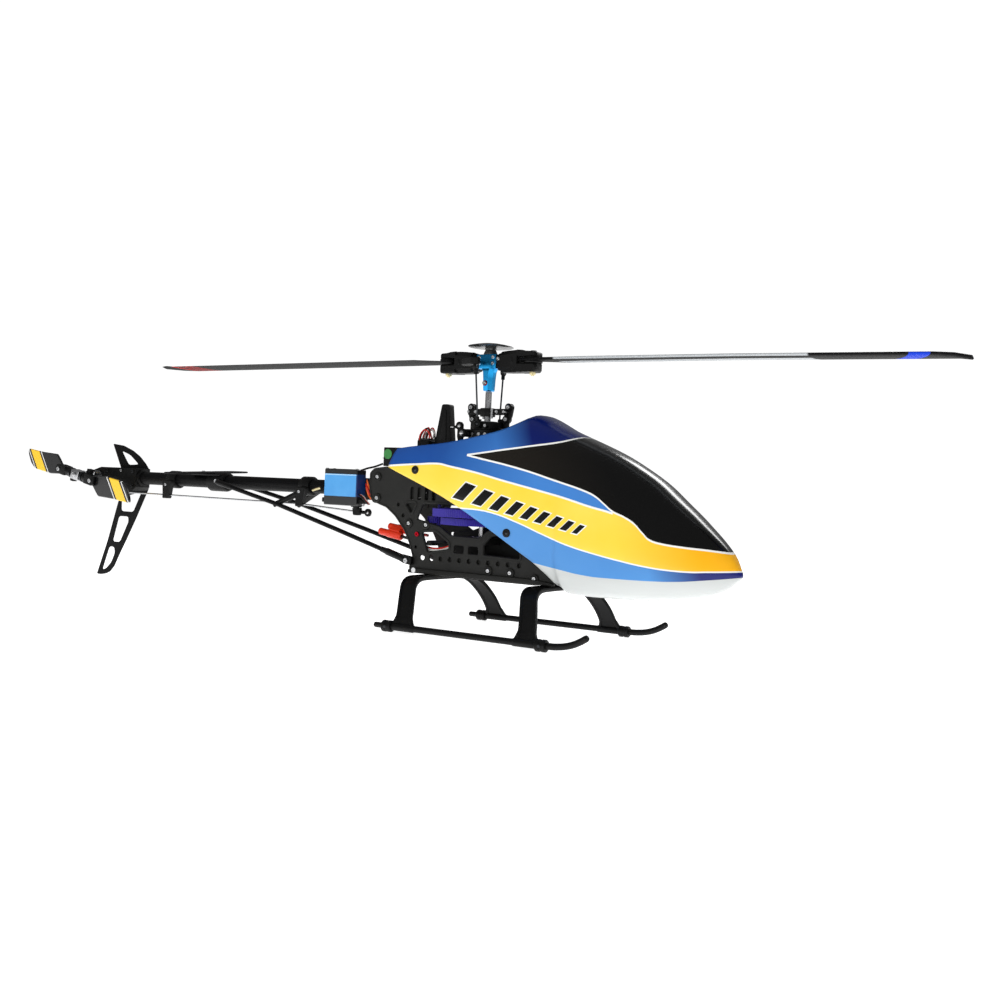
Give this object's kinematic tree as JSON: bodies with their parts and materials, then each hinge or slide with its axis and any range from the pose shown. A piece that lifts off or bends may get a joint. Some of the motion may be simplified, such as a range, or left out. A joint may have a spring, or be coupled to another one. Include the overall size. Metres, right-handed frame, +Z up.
{
  "type": "remote control helicopter",
  "caption": "Electric remote control helicopter with a two-blade main rotor, shaft-driven tail rotor, painted canopy and tubular skids.",
  "frame": {"origin": "middle of the overall box in plan, at the height of the underside of the skid collars", "axes": "+X towards the nose, +Y to the left side, +Z up along the main rotor shaft; the main shaft stands at x = 0.08636"},
  "size_m": [0.8722, 0.1378, 0.2235],
  "materials": {
    "moulded_black": "satin moulded nylon",
    "carbon_sheet": "satin carbon composite",
    "polished_steel": "ground steel",
    "blue_anodised": "blue anodised aluminium",
    "violet_nylon": "moulded nylon gear",
    "motor_grey": "satin grey metal",
    "canopy_paint": "glossy painted shell",
    "servo_blue": "servo case with sky-blue label",
    "battery_wrap": "shrink-wrapped pack",
    "plug_red": "red moulded connector"
  },
  "bodies": {
    "airframe": {"upper_bearing_block": "moulded_black", "lower_bearing_block": "moulded_black", "boom_mount": "moulded_black", "canopy_post_rear": "moulded_black", "canopy_post_front": "moulded_black", "skid_strut_front": "moulded_black", "skid_strut_rear": "moulded_black", "skid_rail_right": "moulded_black", "skid_rail_left": "moulded_black", "anti_rotation_guide": "moulded_black", "cyclic_servo_right": "moulded_black", "cyclic_servo_left": "moulded_black", "speed_controller": "moulded_black", "gyro_box": "moulded_black", "receiver": "moulded_black", "boom_guide_front": "moulded_black", "boom_guide_rear": "moulded_black", "stabilizer_clamp": "moulded_black", "tail_gearbox": "moulded_black", "frame_plate_right": "carbon_sheet", "frame_plate_left": "carbon_sheet", "bottom_tray": "carbon_sheet", "motor_mount": "carbon_sheet", "tail_boom": "carbon_sheet", "horizontal_stabilizer": "carbon_sheet", "boom_brace_right": "carbon_sheet", "boom_brace_left": "carbon_sheet", "vertical_fin": "carbon_sheet", "tail_servo": "servo_blue", "battery_pack": "battery_wrap", "battery_plug": "plug_red"},
    "main_rotor": {"main_shaft": "polished_steel", "main_gear": "violet_nylon", "tail_drive_gear": "violet_nylon", "head_block": "blue_anodised", "head_button": "moulded_black", "swash_driver": "moulded_black"},
    "front_grip": {"main_grip_front": "moulded_black"},
    "rear_grip": {"main_grip_rear": "moulded_black"},
    "front_blade": {"main_blade_front": "carbon_sheet"},
    "rear_blade": {"main_blade_rear": "carbon_sheet"},
    "swash_lower": {"swash_lower_ring": "moulded_black"},
    "swash_upper": {"swash_upper_ring": "moulded_black", "pitch_link_front": "polished_steel", "pitch_link_rear": "polished_steel"},
    "cyclic_horn_right": {"cyclic_horn_right": "moulded_black"},
    "cyclic_horn_left": {"cyclic_horn_left": "moulded_black"},
    "motor_rotor": {"motor_bell": "motor_grey"},
    "tail_pinion": {"tail_drive_pinion": "polished_steel"},
    "tail_shaft": {"torque_tube": "polished_steel"},
    "tail_rotor": {"tail_hub_shaft": "polished_steel"},
    "tail_slider": {"tail_pitch_slider": "moulded_black"},
    "tail_grip_front": {"tail_grip_front": "moulded_black"},
    "tail_grip_rear": {"tail_grip_rear": "moulded_black"},
    "tail_blade_front": {"tail_blade_front": "carbon_sheet"},
    "tail_blade_rear": {"tail_blade_rear": "carbon_sheet"},
    "tail_horn": {"tail_servo_horn": "moulded_black"},
    "tail_pushrod": {"tail_pushrod": "polished_steel"},
    "tail_bellcrank": {"tail_bellcrank": "moulded_black"},
    "canopy": {"canopy": "canopy_paint"}
  },
  "joints": [
    {"name": "main_rotor_spin", "type": "hinge", "parent": "airframe", "child": "main_rotor", "pos_m": [0.08636, 0, 0.09], "axis": [0, 0, 1], "continuous": true},
    {"name": "motor_spin", "type": "hinge", "parent": "airframe", "child": "motor_rotor", "pos_m": [0.12926, 0, 0.1], "axis": [0, 0, 1], "continuous": true},
    {"name": "tail_pinion_spin", "type": "hinge", "parent": "airframe", "child": "tail_pinion", "pos_m": [0.04486, 0, 0.084], "axis": [0, 0, 1], "continuous": true},
    {"name": "tail_shaft_spin", "type": "hinge", "parent": "airframe", "child": "tail_shaft", "pos_m": [0.04486, 0, 0.106], "axis": [1, 0, 0], "continuous": true},
    {"name": "tail_rotor_spin", "type": "hinge", "parent": "airframe", "child": "tail_rotor", "pos_m": [-0.36004, -0.0314, 0.106], "axis": [0, 1, 0], "continuous": true},
    {"name": "collective", "type": "slide", "parent": "airframe", "child": "swash_lower", "axis": [0, 0, 1], "range_m": [-0.0045, 0.0045]},
    {"name": "swash_upper_spin", "type": "hinge", "parent": "swash_lower", "child": "swash_upper", "pos_m": [0.08636, 0, 0.159], "axis": [0, 0, 1], "continuous": true},
    {"name": "front_grip_pitch", "type": "hinge", "parent": "main_rotor", "child": "front_grip", "pos_m": [0.08636, 0, 0.2097], "axis": [1, 0, 0], "range_deg": [-13.5, 13.5]},
    {"name": "rear_grip_pitch", "type": "hinge", "parent": "main_rotor", "child": "rear_grip", "pos_m": [0.08636, 0, 0.2097], "axis": [-1, 0, 0], "range_deg": [-13.5, 13.5]},
    {"name": "front_blade_fold", "type": "hinge", "parent": "front_grip", "child": "front_blade", "pos_m": [0.12516, 0, 0.2097], "axis": [0, 0, 1], "range_deg": [-75, 75]},
    {"name": "rear_blade_fold", "type": "hinge", "parent": "rear_grip", "child": "rear_blade", "pos_m": [0.04756, 0, 0.2097], "axis": [0, 0, 1], "range_deg": [-75, 75]},
    {"name": "right_horn_swing", "type": "hinge", "parent": "airframe", "child": "cyclic_horn_right", "pos_m": [0.06436, -0.022, 0.114], "axis": [0, -1, 0], "range_deg": [-19, 19]},
    {"name": "left_horn_swing", "type": "hinge", "parent": "airframe", "child": "cyclic_horn_left", "pos_m": [0.06436, 0.022, 0.114], "axis": [0, -1, 0], "range_deg": [-19, 19]},
    {"name": "pushrod_slide", "type": "slide", "parent": "airframe", "child": "tail_pushrod", "axis": [1, 0, 0], "range_m": [-0.003, 0.003]},
    {"name": "tail_horn_swing", "type": "hinge", "parent": "airframe", "child": "tail_horn", "pos_m": [-0.02664, -0.0165, 0.0924], "axis": [0, 1, 0], "range_deg": [-30, 30]},
    {"name": "bellcrank_swing", "type": "hinge", "parent": "airframe", "child": "tail_bellcrank", "pos_m": [-0.33564, -0.009, 0.091], "axis": [0, 0, 1], "range_deg": [-21, 21]},
    {"name": "slider_travel", "type": "slide", "parent": "tail_rotor", "child": "tail_slider", "axis": [0, 1, 0], "range_m": [-0.0031, 0.0031]},
    {"name": "front_tail_grip_pitch", "type": "hinge", "parent": "tail_rotor", "child": "tail_grip_front", "pos_m": [-0.36004, -0.0314, 0.106], "axis": [0.9781, 0, -0.2079], "range_deg": [-25, 25]},
    {"name": "rear_tail_grip_pitch", "type": "hinge", "parent": "tail_rotor", "child": "tail_grip_rear", "pos_m": [-0.36004, -0.0314, 0.106], "axis": [-0.9781, 0, 0.2079], "range_deg": [-25, 25]},
    {"name": "front_tail_blade_fold", "type": "hinge", "parent": "tail_grip_front", "child": "tail_blade_front", "pos_m": [-0.33656, -0.0314, 0.10101], "axis": [0, 1, 0], "range_deg": [-45, 45]},
    {"name": "rear_tail_blade_fold", "type": "hinge", "parent": "tail_grip_rear", "child": "tail_blade_rear", "pos_m": [-0.38352, -0.0314, 0.11099], "axis": [0, 1, 0], "range_deg": [-45, 45]},
    {"name": "canopy_removal", "type": "slide", "parent": "airframe", "child": "canopy", "axis": [1, 0, 0], "range_m": [0, 0.24]}
  ],
  "couplings": [
    {"joint": "motor_spin", "follows": "main_rotor_spin", "ratio": -10},
    {"joint": "tail_pinion_spin", "follows": "main_rotor_spin", "ratio": -3.6111},
    {"joint": "tail_shaft_spin", "follows": "main_rotor_spin", "ratio": -3.6111},
    {"joint": "tail_rotor_spin", "follows": "main_rotor_spin", "ratio": 3.6111},
    {"joint": "swash_upper_spin", "follows": "main_rotor_spin", "ratio": 1},
    {"joint": "front_grip_pitch", "follows": "collective", "rad_per_m": 50},
    {"joint": "rear_grip_pitch", "follows": "collective", "rad_per_m": 50},
    {"joint": "right_horn_swing", "follows": "collective", "rad_per_m": 71.429},
    {"joint": "left_horn_swing", "follows": "collective", "rad_per_m": 71.429},
    {"joint": "tail_horn_swing", "follows": "pushrod_slide", "rad_per_m": -169.49},
    {"joint": "bellcrank_swing", "follows": "pushrod_slide", "rad_per_m": -114.94},
    {"joint": "slider_travel", "follows": "pushrod_slide", "ratio": -0.98},
    {"joint": "front_tail_grip_pitch", "follows": "pushrod_slide", "rad_per_m": -135},
    {"joint": "rear_tail_grip_pitch", "follows": "pushrod_slide", "rad_per_m": -135}
  ]
}
